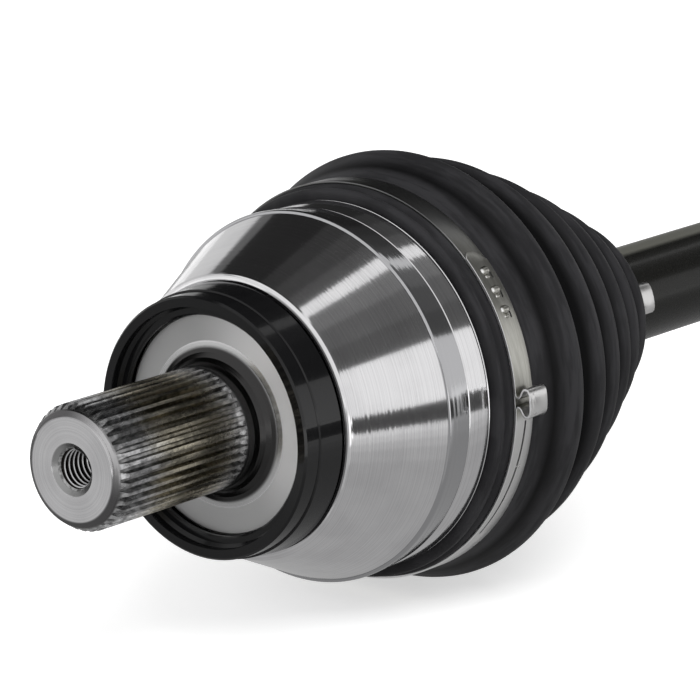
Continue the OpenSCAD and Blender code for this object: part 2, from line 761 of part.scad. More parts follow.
module in_housing() {
    front = in_boot_x;
    seat_r = in_seat_d / 2;
    seat_end = front + collar_reach + press_gap;
    body_r = housing_d / 2;
    floor_x = in_centre + housing_floor;
    journal_r = journal_d / 2;
    seat_end_r = shield_seat_d / 2;
    shield_seat_end = housing_back + shield_seat_len;
    tip_r = gear_spline_d / 2;
    root_r = tip_r - hub_tooth_h;
    nose_r = root_r - 0.4;
    corner_r = 5;
    color([0.75, 0.76, 0.77])
        difference() {
            union() {
                turn(concat(
                    [[front, 0], [front, seat_r - 0.8], [front + 0.8, seat_r], [seat_end, seat_r],
                     [seat_end + 0.2, seat_r + 1], [seat_end + 1.2, body_r]],
                    [[floor_x - 2, body_r]],
                    arc([floor_x - 2, body_r - corner_r], corner_r, 90, 35, 5),
                    [[housing_back - 2.5, seat_end_r + 6], [housing_back, seat_end_r + 3],
                     [housing_back, seat_end_r], [shield_seat_end, seat_end_r],
                     [shield_seat_end, journal_r],
                     [journal_back - 0.8, journal_r], [journal_back, journal_r - 0.8],
                     [journal_back, tip_r + 1], [journal_back + 1, tip_r - neck_step],
                     [gear_spline_x, tip_r - neck_step], [gear_spline_x + runout, root_r - past / 4],
                     [gear_spline_x + 2 * runout, root_r - past],
                     [gear_spline_x + gear_spline_len - past, root_r - past],
                     [gear_spline_x + gear_spline_len - past, nose_r],
                     [snap_x, nose_r], [snap_x, nose_r - groove_h],
                     [snap_x + 2, nose_r - groove_h], [snap_x + 2, nose_r],
                     [stub_end - 1.5, nose_r], [stub_end, nose_r - 1.5], [stub_end, 0]]
                ));
                intersection() {
                    splined_length(gear_spline_x, gear_spline_len, gear_teeth, tip_r, hub_tooth_h);
                    turn([
                        [gear_spline_x, 0], [gear_spline_x, tip_r + past],
                        [gear_spline_x + gear_spline_len - 1.6, tip_r + past],
                        [gear_spline_x + gear_spline_len, root_r], [gear_spline_x + gear_spline_len, 0]
                    ]);
                }
            }
            translate([front - past, 0, 0])
                rotate([0, 90, 0])
                    cylinder(h = floor_x - front + past, r = in_bore_r);
            turn([
                [front - past, 0], [front - past, in_bore_r + 2], [front + past, in_bore_r],
                [front + past, 0]
            ]);
            at_each_ball(30) straight_track(front - past, floor_x - 1.5, ball_r + track_gap);
            // Groove of the wire stop ring.
            translate([stop_ring_x, 0, 0])
                rotate([0, 90, 0])
                    rotate_extrude()
                        translate([stop_ring_r, 0]) circle(stop_wire_r + press_gap);
        }
}

module in_stop_ring() {
    opening = 24;
    color("silver")
        translate([stop_ring_x, 0, 0])
            rotate([0, 90, 0])
                rotate([0, 0, 180 + opening / 2])
                    rotate_extrude(angle = 360 - opening)
                        translate([stop_ring_r, 0]) circle(stop_wire_r);
}

module dust_shield() {
    inner_r = shield_seat_d / 2 + press_gap;
    rim = 3;
    color([0.3, 0.3, 0.31])
        turn([
            [shield_x, inner_r], [shield_x + 4, inner_r], [shield_x + 4, inner_r + shield_t],
            [shield_x + shield_t, inner_r + shield_t], [shield_x + shield_t, shield_d / 2 - shield_t],
            [shield_x + rim + shield_t, shield_d / 2 - shield_t], [shield_x + rim + shield_t, shield_d / 2],
            [shield_x, shield_d / 2]
        ]);
}

module stub_snap_ring() {
    wire_r = 0.95;
    groove_r = gear_spline_d / 2 - hub_tooth_h - 0.4 - groove_h;
    color("dimgray")
        translate([snap_x + 1, 0, 0])
            rotate([0, 90, 0])
                rotate([0, 0, 100])
                    rotate_extrude(angle = 340)
                        translate([groove_r + wire_r + press_gap, 0]) circle(wire_r);
}

bell();
pressed_ring();
out_boot();
out_large_clamp();
out_small_clamp();
out_inner_race();
out_circlip();
out_cage();
out_ball(1);  // out_ball_1
out_ball(2);  // out_ball_2
out_ball(3);  // out_ball_3
out_ball(4);  // out_ball_4
out_ball(5);  // out_ball_5
out_ball(6);  // out_ball_6
bar();
in_inner_race();
in_circlip();
in_cage();
in_axis_balls();
in_ball(30);  // in_ball_1
in_ball(150);  // in_ball_2
in_ball(210);  // in_ball_3
in_ball(330);  // in_ball_4
in_housing();
in_stop_ring();
in_boot();
in_large_clamp();
in_small_clamp();
dust_shield();
stub_snap_ring();
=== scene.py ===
# %% [markdown]
# # Dressing a front-axle drive shaft
# A drive shaft carries the engine's turning force to a front wheel. Its two joints let the wheel
# steer and rise while it turns. The solid parts of this shaft come ready made from OpenSCAD, and
# this lesson gives them what a camera sees: ground steel, oil, paint, rubber and pressed clamps.
# All lengths below are in millimetres until they reach Blender, which counts in metres.

# %% Load the solid parts
import math

import bpy
from mathutils import Matrix, Vector


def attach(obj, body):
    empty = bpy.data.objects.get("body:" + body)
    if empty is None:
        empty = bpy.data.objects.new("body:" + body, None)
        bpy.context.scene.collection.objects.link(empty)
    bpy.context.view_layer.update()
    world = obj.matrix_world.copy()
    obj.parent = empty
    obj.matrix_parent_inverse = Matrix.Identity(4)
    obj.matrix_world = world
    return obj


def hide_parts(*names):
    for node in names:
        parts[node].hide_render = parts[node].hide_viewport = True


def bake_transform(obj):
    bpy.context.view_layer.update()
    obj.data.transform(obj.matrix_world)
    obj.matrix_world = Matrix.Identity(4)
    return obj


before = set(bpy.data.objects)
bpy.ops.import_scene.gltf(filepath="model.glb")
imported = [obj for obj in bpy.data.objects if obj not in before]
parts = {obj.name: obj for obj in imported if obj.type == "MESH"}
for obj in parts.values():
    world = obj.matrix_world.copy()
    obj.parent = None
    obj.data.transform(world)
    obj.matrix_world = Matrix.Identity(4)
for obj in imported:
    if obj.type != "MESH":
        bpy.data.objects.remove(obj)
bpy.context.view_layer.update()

MM = 0.001

# %% [markdown]
# ## The camera
# The long side of the shaft runs along X, and the splined stub points to -X. The picture was
# taken with a long lens, a little above the shaft and in front of the stub. A camera is an eye
# point and three directions: right, up and forward. They go into the columns of its matrix,
# because a Blender camera looks along its own -Z.

# %% Place the camera
right = Vector((0.62953, -0.77698, 0.0))
up = Vector((0.19333, 0.15664, 0.96855))
forward = Vector((0.75254, 0.60973, -0.24882))
stub_face = Vector((-50.3, 0.0, 0.0)) * MM
eye = stub_face + (62.93 * right + 27.177 * up - 948.916 * forward) * MM

lens = bpy.data.cameras.new("camera")
lens.lens = 215.85
lens.sensor_width = 36.0
lens.dof.use_dof = False
camera = bpy.data.objects.new("camera", lens)
bpy.context.scene.collection.objects.link(camera)
turn = Matrix((right, up, -forward)).transposed().to_4x4()
camera.matrix_world = Matrix.Translation(eye) @ turn
bpy.context.scene.camera = camera
print("camera at", [round(c, 3) for c in eye])

# %% [markdown]
# ## Drawing with one point
# Every shape below starts as a single point. It is moved to its first place and then extruded
# from place to place, as a pencil draws a line. A line that closes can be filled to a face.

# %% A point that draws
def start_piece(name):
    """Adds a piece that is a single point at the origin, in edit mode and selected."""
    bpy.ops.object.select_all(action="DESELECT")
    bpy.ops.mesh.primitive_plane_add(size=2 * MM)
    piece = bpy.context.object
    piece.name = piece.data.name = name
    bpy.ops.object.mode_set(mode="EDIT")
    bpy.ops.mesh.select_all(action="SELECT")
    bpy.ops.mesh.merge(type="CENTER")
    return piece


def draw_path(points):
    """Moves the selected point to the first place and extrudes it through the others."""
    bpy.ops.transform.translate(value=Vector(points[0]) * MM)
    for before, after in zip(points, points[1:]):
        step = (Vector(after) - Vector(before)) * MM
        bpy.ops.mesh.extrude_region_move(TRANSFORM_OT_translate={"value": step})


def fill_outline(name, points):
    """A piece that is one flat face with these corners."""
    piece = start_piece(name)
    draw_path(list(points) + [points[0]])
    bpy.ops.mesh.select_all(action="SELECT")
    bpy.ops.mesh.remove_doubles(threshold=1e-7)
    bpy.ops.mesh.edge_face_add()
    bpy.ops.object.mode_set(mode="OBJECT")
    return piece


print("the pencil is ready")

# %% [markdown]
# ## A small language for shader nodes
# A finish is a network of nodes, and most of its nodes only add, multiply or compare numbers.
# Python can write such sums much shorter than wires can. The class below wraps one socket, and
# each operator on it adds the Math node that does the same. Everything else goes through one
# function, which makes a node, sets it up and connects what it is given.

# %% Sums of sockets
def add_node(tree, kind, settings=None, inputs=None, output=0):
    """Adds one node, sets it up, feeds its sockets and returns one of its outputs."""
    made = tree.nodes.new("ShaderNode" + kind)
    for name, value in (settings or {}).items():
        setattr(made, name, value)
    for name, value in (inputs or {}).items():
        if isinstance(value, Wire):
            tree.links.new(value.socket, made.inputs[name])
        else:
            made.inputs[name].default_value = value
    return Wire(tree, made.outputs[output])


class Wire:
    """One socket that can stand in a sum, as a number can."""

    def __init__(self, tree, socket):
        self.tree, self.socket = tree, socket

    def math(self, operation, first, second=0.0, clamp=False):
        return add_node(self.tree, "Math", {"operation": operation, "use_clamp": clamp},
                        {0: first, 1: second})

    def __add__(self, other):
        return self.math("ADD", self, other)

    __radd__ = __add__

    def __sub__(self, other):
        return self.math("SUBTRACT", self, other)

    def __rsub__(self, other):
        return self.math("SUBTRACT", other, self)

    def __mul__(self, other):
        return self.math("MULTIPLY", self, other)

    __rmul__ = __mul__

    def between(self, low, high):
        """0 below low, 1 above high, and smooth from one to the other."""
        return add_node(self.tree, "MapRange", {"interpolation_type": "SMOOTHSTEP"},
                        {"Value": self, "From Min": low, "From Max": high,
                         "To Min": 0.0, "To Max": 1.0})

    def band(self, low, high, soft):
        """1 from low to high, and 0 on both sides."""
        return self.between(low - soft, low + soft) - self.between(high - soft, high + soft)


print("operators ready:", [name for name in vars(Wire) if name.startswith("__r")])

# %% [markdown]
# ## A finish
# Each finish below is one Principled shader. Values that are the same all over are typed into
# its sockets. What changes over the surface is worked out from the Object coordinates: every
# part lies at the origin unturned, so x is the place along the shaft, and the distance from the
# axis and the angle about it follow from y and z.

# %% The finish and its helpers
def socket_name(words):
    """The name of a socket, such as Specular IOR Level for specular_ior_level."""
    return words.replace("_", " ").title().replace("Ior", "IOR")


class Finish:
    """A procedural finish and the places on the shaft that it can ask for."""

    def __init__(self, name, **plain):
        self.material = bpy.data.materials.new(name)
        self.material.use_nodes = True
        self.tree = self.material.node_tree
        self.shader = self.tree.nodes["Principled BSDF"]
        for words, value in plain.items():
            self.shader.inputs[socket_name(words)].default_value = value
        self.point = self.node("TexCoord", output="Object")
        split = self.tree.nodes.new("ShaderNodeSeparateXYZ")
        self.tree.links.new(self.point.socket, split.inputs[0])
        self.x, self.y, self.z = (Wire(self.tree, socket) for socket in split.outputs)

    def node(self, kind, settings=None, inputs=None, output=0):
        return add_node(self.tree, kind, settings, inputs, output)

    def feed(self, **sockets):
        for words, wire in sockets.items():
            self.tree.links.new(wire.socket, self.shader.inputs[socket_name(words)])
        return self

    def radius(self):
        return self.node("Math", {"operation": "SQRT"}, {0: self.y * self.y + self.z * self.z})

    def angle(self):
        """The angle about the axis in radians: 0 towards -Y, and growing towards +Z."""
        return self.node("Math", {"operation": "ARCTAN2"}, {0: self.z, 1: 0.0 - self.y})

    def noise(self, scale, detail=2.0, stretch=(1.0, 1.0, 1.0), rough=0.5):
        """Soft blotches, this many to the metre, stretched along the three directions."""
        place = self.node("Mapping", {"vector_type": "POINT"},
                          {"Vector": self.point, "Scale": stretch})
        return self.node("TexNoise", {"noise_dimensions": "3D"},
                         {"Vector": place, "Scale": scale, "Detail": detail, "Roughness": rough})

    def mix(self, share, first, second):
        """One colour where share is 0, and the other where it is 1."""
        values = {0: share}
        for socket, tone in ((6, first), (7, second)):
            values[socket] = tone if isinstance(tone, Wire) else (*tone, 1.0)
        return self.node("Mix", {"data_type": "RGBA"}, values, output=2)

    def bump(self, height, depth, under=None):
        """A relief of this depth in millimetres, on top of another one if given."""
        inputs = {"Height": height, "Distance": depth * MM, "Strength": 1.0}
        if under is not None:
            inputs["Normal"] = under
        return self.node("Bump", None, inputs)

    def lathe_normal(self, spread, pitch, chatter=0.0):
        """Leans the normal across fine marks round the axis, and along them by the chatter."""
        normal = self.node("NewGeometry", output="Normal")
        around = self.node("CombineXYZ", None, {1: 0.0 - self.z, 2: self.y})
        around = self.node("VectorMath", {"operation": "NORMALIZE"}, {0: around})
        across = self.node("VectorMath", {"operation": "CROSS_PRODUCT"}, {0: around, 1: normal})
        along = (self.x + self.radius()) * (1.0 / (pitch * MM)) + self.angle() * 0.7
        fine = self.node("TexNoise", {"noise_dimensions": "1D"},
                         {"W": along, "Scale": 1.0, "Detail": 3.0, "Roughness": 0.8})
        nx = self.node("SeparateXYZ", None, {0: normal})
        lean = self.node("VectorMath", {"operation": "SCALE"},
                         {0: across, "Scale": (fine - 0.5) * spread * (1.0 - 0.85 * nx * nx)})
        leaning = self.node("VectorMath", {"operation": "ADD"}, {0: normal, 1: lean})
        if chatter:
            jump = self.node("TexNoise", {"noise_dimensions": "1D"},
                             {"W": along + 40.0, "Scale": 0.9, "Detail": 2.0})
            worn = self.noise(70.0, 3.0).between(0.42, 0.6)
            side = self.node("VectorMath", {"operation": "SCALE"},
                             {0: around, "Scale": (jump - 0.5) * chatter * worn})
            leaning = self.node("VectorMath", {"operation": "ADD"}, {0: leaning, 1: side})
        return self.node("VectorMath", {"operation": "NORMALIZE"}, {0: leaning})


def paint(finish, *names):
    """Gives a finish to solid parts, in their material slots."""
    for name in names:
        data = parts[name].data
        data.materials.clear()
        data.materials.append(finish.material)


print("finish helpers ready")

# %% [markdown]
# ## The studio
# Bright metal has almost no colour of its own: it shows the room. A studio for steel is a white
# room with a few dark cards. Where the bell shows a dark bar, a card stands; where it shows a
# bright bar, there is a gap between two cards. The cards are long and lie along the shaft,
# because each bar on the bell runs along it too. Only reflections see them.

# %% A white room
def seen_share(tree):
    """1 for what the camera sees, also by reflection, and 0 for light that falls on the shaft."""
    camera_ray = add_node(tree, "LightPath", output="Is Camera Ray")
    glossy_ray = add_node(tree, "LightPath", output="Is Glossy Ray")
    clear_ray = add_node(tree, "LightPath", output="Is Transmission Ray")
    return camera_ray.math("ADD", camera_ray + glossy_ray, clear_ray, clamp=True)


world = bpy.data.worlds.new("room")
world.use_nodes = True
bpy.context.scene.world = world
room = world.node_tree
background = room.nodes["Background"]
background.inputs["Color"].default_value = (1.0, 1.0, 1.0, 1.0)
room_fill = 0.62
strength = seen_share(room) * (1.0 - room_fill) + room_fill
room.links.new(strength.socket, background.inputs["Strength"])
print("room fill", room_fill)

# %% The floor
floor_z = -54.2
bpy.ops.object.select_all(action="DESELECT")
bpy.ops.mesh.primitive_plane_add(size=14.0, location=(0.0, 0.0, floor_z * MM))
floor = bpy.context.object
floor.name = "floor"
pale = bpy.data.materials.new("pale floor")
pale.use_nodes = True
board = pale.node_tree
shader = board.nodes["Principled BSDF"]
shader.inputs["Base Color"].default_value = (0.84, 0.84, 0.84, 1.0)
shader.inputs["Roughness"].default_value = 1.0
shader.inputs["Specular IOR Level"].default_value = 0.0
shader.inputs["Emission Color"].default_value = (1.0, 1.0, 1.0, 1.0)
floor_glow = 0.55
board.links.new((seen_share(board) * floor_glow).socket, shader.inputs["Emission Strength"])
floor.data.materials.append(pale)
print("floor at", floor_z, "mm")

# %% [markdown]
# Each card is a flat face with a dark, even glow, hung beside the shaft or laid on the floor. A
# sum tells where it goes: the ray from the camera bounces off the bell at the angle of a bar, and
# the card stands where that ray ends. The cone and the waist behind it send their rays to
# different places, so an edge has one angle near the shaft and another one far behind it. The
# last card is a crooked strip on the floor. It makes the fine dark line along the bell's side.

# %% Dark cards
def card(name, corners, tone):
    """A face that only reflections see, and that glows with this tone."""
    board = fill_outline(name, corners)
    cloth = bpy.data.materials.new(name)
    cloth.use_nodes = True
    shader = cloth.node_tree.nodes["Principled BSDF"]
    shader.inputs["Base Color"].default_value = (0.0, 0.0, 0.0, 1.0)
    shader.inputs["Specular IOR Level"].default_value = 0.0
    shader.inputs["Emission Color"].default_value = (tone, tone, tone, 1.0)
    shader.inputs["Emission Strength"].default_value = 1.0
    board.data.materials.append(cloth)
    board.visible_camera = board.visible_diffuse = board.visible_shadow = False
    board.visible_transmission = False


hang_distance = 1600.0
near_x, far_x = 100.0, 1800.0
past_near, past_far = 700.0, 4000.0


def hung_edge(angle_near, angle_far):
    """Both ends of a straight edge whose angle is given at near_x and at far_x."""
    near, far = (Vector((x, -hang_distance * math.cos(math.radians(angle)),
                         hang_distance * math.sin(math.radians(angle))))
                 for x, angle in ((near_x, angle_near), (far_x, angle_far)))
    along = (far - near) / (far_x - near_x)
    return near - past_near * along, far + past_far * along


def hang(name, edges, tones):
    """A row of cards, each between two of the edges."""
    for number, (first, second, tone) in enumerate(zip(edges, edges[1:], tones), 1):
        corners = [*hung_edge(*first), *hung_edge(*second)[::-1]]
        card("%s_%d" % (name, number), corners, tone)


def lay(name, low_x, high_x, lines, tones, height=0.6):
    """A row of cards on the floor, between lines of equal y."""
    level = floor_z + height
    for number, (first, second, tone) in enumerate(zip(lines, lines[1:], tones), 1):
        card("%s_%d" % (name, number), [(low_x, first, level), (high_x, first, level),
                                        (high_x, second, level), (low_x, second, level)], tone)


hang("card_front", [(31, 33), (46, 50), (60, 68), (72, 83)], [0.11, 0.14, 0.2])
hang("card_back",
     [(80, 92), (89, 103), (100, 116), (110, 128), (135, 163), (141, 168), (147, 173), (165, 179)],
     [0.1, 0.065, 0.045, 0.025, 0.14, 0.42, 0.7])
lay("card_floor", -60.0, 1200.0, [700.0, -120.0, -160.0, -200.0, -250.0, -340.0],
    [0.42, 0.46, 0.54, 0.66, 0.8])
lay("card_fore", -900.0, -60.0, [700.0, -150.0], [0.55])
line = [(-232, -386), (18, -326), (46, -341), (159, -305), (221, -262), (250, -220), (264, -181),
        (695, -458), (823, -727), (1013, -1265), (1315, -2762),
        (447, -10936), (406, -10603), (156, -10723)]
line_height, line_tone = 1.2, 0.07
card("card_line", [(x, y, floor_z + line_height) for x, y in line], line_tone)

# %% A soft lamp
lamp = bpy.data.lights.new("soft lamp", "AREA")
lamp.shape = "RECTANGLE"
lamp.size, lamp.size_y = 1.6, 1.2
lamp.energy = 26.0
key = bpy.data.objects.new("soft lamp", lamp)
bpy.context.scene.collection.objects.link(key)
key.location = (-0.7, -1.0, 1.7)
key.rotation_euler = (Vector((0.05, 0.0, 0.0)) - key.location).to_track_quat("-Z", "Y").to_euler()
key.visible_glossy = False
print("lamp", lamp.energy, "W")

# %% [markdown]
# ## Turned and ground steel
# The bell is turned on a lathe, and its tool leaves fine rings round the axis. They are far too
# fine to model. They make each highlight spread along the shaft and stay narrow around it, so
# the bell shows hard bars from front to back. The finish leans the normal to and fro across
# such rings. The stub keeps a film of assembly oil, brown in the middle of the spline. Each zone
# of the bell is a share from 0 to 1, found from x and the radius, and mixes in its own tone. On
# the flare, the shoulder, the rim of the end face and the bolt hole, that tone is painted light
# and painted shade.

# %% Zones of the bell
steel = Finish("turned steel", metallic=1.0)
radius = steel.radius()
behind_face = steel.x.between(-50.2 * MM, -49.9 * MM)
behind_spline = steel.x.between(-7.5 * MM, -5.8 * MM)
end_face = 1.0 - behind_face
spline = behind_face * (1.0 - behind_spline) * radius.between(12.0 * MM, 12.4 * MM)
film = steel.x.band(-36 * MM, -12 * MM, 6 * MM)
groove = (1.0 - radius.between(13.5 * MM, 14.1 * MM)) * steel.x.between(-49.6 * MM, -49.2 * MM)
flare = behind_spline * (1.0 - radius.between(19.6 * MM, 20.3 * MM))
flare_rim_highlight = radius.between(18.2 * MM, 19.3 * MM)
shoulder = steel.x.band(-0.4 * MM, 1.2 * MM, 0.1 * MM) * radius.between(19.9 * MM, 20.3 * MM)
stub_rim = radius.between(11.9 * MM, 12.5 * MM) * (1.0 - steel.x.between(-49.4 * MM, -48.9 * MM))
sink = 1.0 - radius.between(6.1 * MM, 6.4 * MM)
bore = 1.0 - radius.between(5.15 * MM, 5.25 * MM)
ground_zone = steel.x.band(30.5 * MM, 38.7 * MM, 0.05 * MM) * radius.between(44.92 * MM, 44.96 * MM)
lit_side = steel.angle().band(math.radians(-25.0), math.radians(75.0), math.radians(35.0))
rim_highlight_side = steel.angle().band(math.radians(5.0), math.radians(70.0), math.radians(30.0))
print("the zones take", len(steel.tree.nodes), "nodes")

# %% Tones of the bell
blotch = steel.noise(90.0, 4.0)
cloudy = steel.noise(420.0, 3.0)
speck = steel.noise(1300.0, 3.0, (0.6, 1.0, 1.0))
oil = steel.noise(520.0, 5.0, (0.12, 1.0, 1.0))
mark_pitch = 0.5
marks = steel.node("TexNoise", {"noise_dimensions": "1D"},
                   {"W": (steel.x + radius) * (1000.0 / mark_pitch), "Scale": 1.0, "Detail": 2.0})
bright = steel.mix(blotch.between(0.35, 0.7) * 0.5 + marks.between(0.35, 0.65) * 0.5,
                   (0.76, 0.755, 0.765), (0.62, 0.615, 0.625))
bright = steel.mix(ground_zone, bright, (0.43, 0.43, 0.44))
oily = steel.mix((oil * 0.7 + speck * 0.3).between(0.38, 0.62),
                 (0.15, 0.14, 0.112), (0.56, 0.515, 0.41))
grey = steel.mix((cloudy * 0.6 + speck * 0.4).between(0.38, 0.62),
                 (0.18, 0.18, 0.182), (0.52, 0.52, 0.525))
stub_tone = steel.mix(groove, steel.mix(film, grey, oily), (0.022, 0.021, 0.018))
tone = steel.mix(spline, bright, stub_tone)
# Painted reflection and painted highlight: the flare is dark, as if it mirrored dark things, with a
# bright line near its outer edge.
tone = steel.mix(flare, tone, steel.mix(flare_rim_highlight, (0.045, 0.044, 0.044), (0.5, 0.5, 0.5)))
tone = steel.mix(sink, tone, (0.30, 0.30, 0.30))
# Painted shade: the wall of the bolt hole is near black, for the shade inside the hole.
tone = steel.mix(bore, tone, (0.01, 0.01, 0.01))
# Painted highlight and painted shade: the shoulder is nearly white on its lit side and grey on the
# others.
tone = steel.mix(shoulder, tone, steel.mix(lit_side, (0.4, 0.4, 0.4), (0.98, 0.975, 0.98)))
# Painted highlight and painted shade: the rim round the end face is pale towards the upper right
# and dark on the other sides.
tone = steel.mix(stub_rim, tone, steel.mix(rim_highlight_side, (0.1, 0.098, 0.1), (0.46, 0.455, 0.46)))
print("with the tones there are", len(steel.tree.nodes))

# %% Relief of the bell
past_rim = steel.node("Math", {"operation": "MAXIMUM"}, {0: (radius - 12.1 * MM) * 1000.0, 1: 0.0})
roundness = past_rim * past_rim * end_face
relief = steel.bump(speck * (spline + sink), 0.03, steel.lathe_normal(0.18, 0.8, chatter=0.045))
steel.feed(
    base_color=tone,
    roughness=0.085 + 0.04 * blotch + 0.17 * spline + 0.12 * flare + 0.2 * sink + 0.33 * shoulder,
    metallic=1.0 - 0.45 * shoulder,
    normal=steel.bump(0.0 - roundness, 0.42, relief),
)
paint(steel, "bell")
print("bell finish has", len(steel.tree.nodes), "nodes")

# %% Steel inside the joints and at the gearbox end
ground = Finish("ground steel", metallic=1.0, base_color=(0.62, 0.62, 0.63, 1.0))
ground.feed(roughness=0.2 + 0.1 * ground.noise(300.0, 3.0), normal=ground.lathe_normal(0.3, 0.2))
paint(ground, "out_inner_race", "in_inner_race", "out_cage", "in_cage")
ball_steel = Finish("polished balls", metallic=1.0, base_color=(0.72, 0.72, 0.73, 1.0))
ball_steel.feed(roughness=0.07 + 0.05 * ball_steel.noise(400.0, 4.0))
balls = [name for name in parts if "ball" in name]
paint(ball_steel, *balls)
spring = Finish("spring steel", metallic=1.0, base_color=(0.3, 0.3, 0.31, 1.0))
spring.feed(roughness=0.32 + 0.12 * spring.noise(900.0, 3.0))
paint(spring, "out_circlip", "in_circlip", "in_stop_ring", "stub_snap_ring")
print("balls:", len(balls))

# %% The gearbox housing and its shield
housing = Finish("housing steel", metallic=1.0)
patch = housing.noise(70.0, 4.0)
journal = housing.x.between(474 * MM, 475 * MM)
forged = housing.mix(patch.between(0.35, 0.7), (0.56, 0.555, 0.56), (0.48, 0.475, 0.48))
housing.feed(
    base_color=housing.mix(journal, forged, (0.68, 0.68, 0.69)),
    roughness=0.3 + 0.1 * patch - 0.14 * journal,
    normal=housing.lathe_normal(0.5, 0.2),
)
paint(housing, "in_housing")
shield = Finish("zinc plated shield", metallic=1.0)
crystals = shield.node("TexVoronoi", None, {"Vector": shield.point, "Scale": 420.0})
shield.feed(base_color=shield.mix(crystals, (0.42, 0.42, 0.43), (0.56, 0.56, 0.57)),
            roughness=0.34 + 0.1 * crystals)
paint(shield, "dust_shield")
print("housing and shield done")

# %% [markdown]
# ## Black paint
# The ring behind the hub shoulder and the bar are both black, but not alike. The ring has a hard
# glossy coat that mirrors the room. The bar is dipped in paint, which flows into soft waves, so
# the reflection along it wavers a little.

# %% Paint on the ring and the bar
gloss = Finish("glossy black ring", base_color=(0.004, 0.004, 0.0045, 1.0), coat_weight=0.12,
               coat_roughness=0.05, specular_ior_level=0.2)
dust = gloss.noise(700.0, 5.0)
# Painted reflection: the coat is thicker on the side towards the light, so that side mirrors more
# of the room.
lit_side = gloss.angle().band(math.radians(-15.0), math.radians(30.0), math.radians(25.0))
gloss.feed(coat_weight=0.12 + 0.4 * lit_side, roughness=0.08 + 0.14 * dust,
           normal=gloss.bump(gloss.noise(130.0, 2.0), 0.02))
paint(gloss, "pressed_ring")
dipped = Finish("dipped black bar", coat_weight=0.1, coat_roughness=0.1, specular_ior_level=0.14)
wave = dipped.noise(60.0, 3.0, (0.25, 1.0, 1.0))
# Painted reflection: a pale, rougher band along the top of the bar stands in for the bright room
# mirrored there.
painted_sheen_band = dipped.angle().band(math.radians(75.0), math.radians(122.0), math.radians(5.0))
sheen_share = painted_sheen_band * (0.75 + 0.25 * wave)
dipped.feed(
    base_color=dipped.mix(sheen_share, (0.0075, 0.0075, 0.0065), (0.125, 0.125, 0.108)),
    roughness=0.2 + 0.14 * dipped.noise(500.0, 4.0) + 0.25 * painted_sheen_band,
    normal=dipped.bump(wave, 0.12),
)
paint(dipped, "bar")
print("painted: pressed_ring, bar")

# %% [markdown]
# ## Turning an outline
# Most parts of a shaft are round. The quickest way to such a shape is the way of the lathe: draw
# half of its section, then spin it about the axis. The outline starts as one point. Each next
# point is extruded from the last one, the last meets the first, and Spin turns it all round.

# %% Spin an outline about the shaft
def spun(name, outline, steps=192):
    """Spins a closed outline of (x, radius) pairs about the shaft axis."""
    piece = start_piece(name)
    draw_path([(x, -r, 0.0) for x, r in list(outline) + [outline[0]]])
    bpy.ops.mesh.select_all(action="SELECT")
    bpy.ops.mesh.remove_doubles(threshold=1e-7)
    bpy.ops.mesh.spin(steps=steps, angle=-math.radians(360.0), center=(0.0, 0.0, 0.0),
                      axis=(1.0, 0.0, 0.0))
    bpy.ops.mesh.select_all(action="SELECT")
    bpy.ops.mesh.remove_doubles(threshold=1e-6)
    bpy.ops.mesh.normals_make_consistent(inside=False)
    bpy.ops.object.mode_set(mode="OBJECT")
    return piece


def soften(piece, width, segments=2, limit=28.0):
    """Rounds the sharp edges of a piece and shades the rest smooth."""
    edge = piece.modifiers.new("rounded edges", "BEVEL")
    edge.width, edge.segments = width * MM, segments
    edge.limit_method, edge.angle_limit = "ANGLE", math.radians(limit)
    bpy.context.view_layer.objects.active = piece
    bpy.ops.object.modifier_apply(modifier=edge.name)
    bpy.ops.object.select_all(action="DESELECT")
    piece.select_set(True)
    bpy.ops.object.shade_smooth_by_angle(angle=math.radians(limit))


def dress(piece, finish):
    piece.data.materials.clear()
    piece.data.materials.append(finish.material)
    print(piece.name, len(piece.data.polygons), "faces")


# %% [markdown]
# ## The thread for the hub bolt
# A bolt holds the wheel hub on the stub, and its thread can be seen through the hole in the end
# face. A thread is one notch shape that climbs as it turns, so the Screw modifier makes it from
# a single small triangle.

# %% Cut the thread
thread_outer, thread_inner, thread_pitch = 5.25, 4.35, 1.5
thread = start_piece("hub_thread_turns")
tooth = [(-49.4, thread_outer), (-48.85, thread_inner), (-48.72, thread_inner),
         (-48.15, thread_outer)]
draw_path([(x, 0.0, r) for x, r in tooth])
bpy.ops.object.mode_set(mode="OBJECT")
climb = thread.modifiers.new("climb", "SCREW")
climb.axis = "X"
climb.steps = climb.render_steps = 40
climb.iterations = 14
climb.screw_offset = thread_pitch * MM
climb.use_merge_vertices = True
bpy.ops.object.modifier_apply(modifier=climb.name)
bpy.ops.object.shade_smooth_by_angle(angle=math.radians(30.0))
mouth_outline = [(-49.75, 5.78), (-48.75, 4.74), (-48.6, 4.8), (-48.6, 5.25), (-49.2, 5.3)]
mouth = spun("hub_thread_mouth", mouth_outline, steps=64)
sunk = Finish("countersunk mouth", metallic=1.0)
scratch = sunk.noise(1400.0, 4.0)
sunk.feed(base_color=sunk.mix(scratch.between(0.35, 0.65), (0.16, 0.16, 0.16), (0.46, 0.46, 0.46)),
          roughness=0.34 + 0.2 * scratch, normal=sunk.bump(scratch, 0.05))
dress(mouth, sunk)
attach(mouth, "bell")

cut = Finish("cut thread", metallic=1.0)
# Painted shade: only the inner crest of the thread is bright, and the rest is near black, for the
# shade deep in the hole.
crest = 1.0 - cut.radius().between(4.42 * MM, 4.66 * MM)
cut.feed(base_color=cut.mix(crest, (0.014, 0.013, 0.012), (0.62, 0.62, 0.63)),
         roughness=0.22 + 0.2 * cut.noise(800.0, 3.0))
dress(thread, cut)
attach(thread, "bell")

# %% [markdown]
# ## The ground band behind the cone
# Behind its cone the bell has two ground bands with a fine line between them. The first narrows a
# little and the second widens again, so they mirror other parts of the room than the cone does. A
# ring with their outline is spun and sits on the waist of the solid bell. It stands up to 2.5 mm
# proud of that waist.

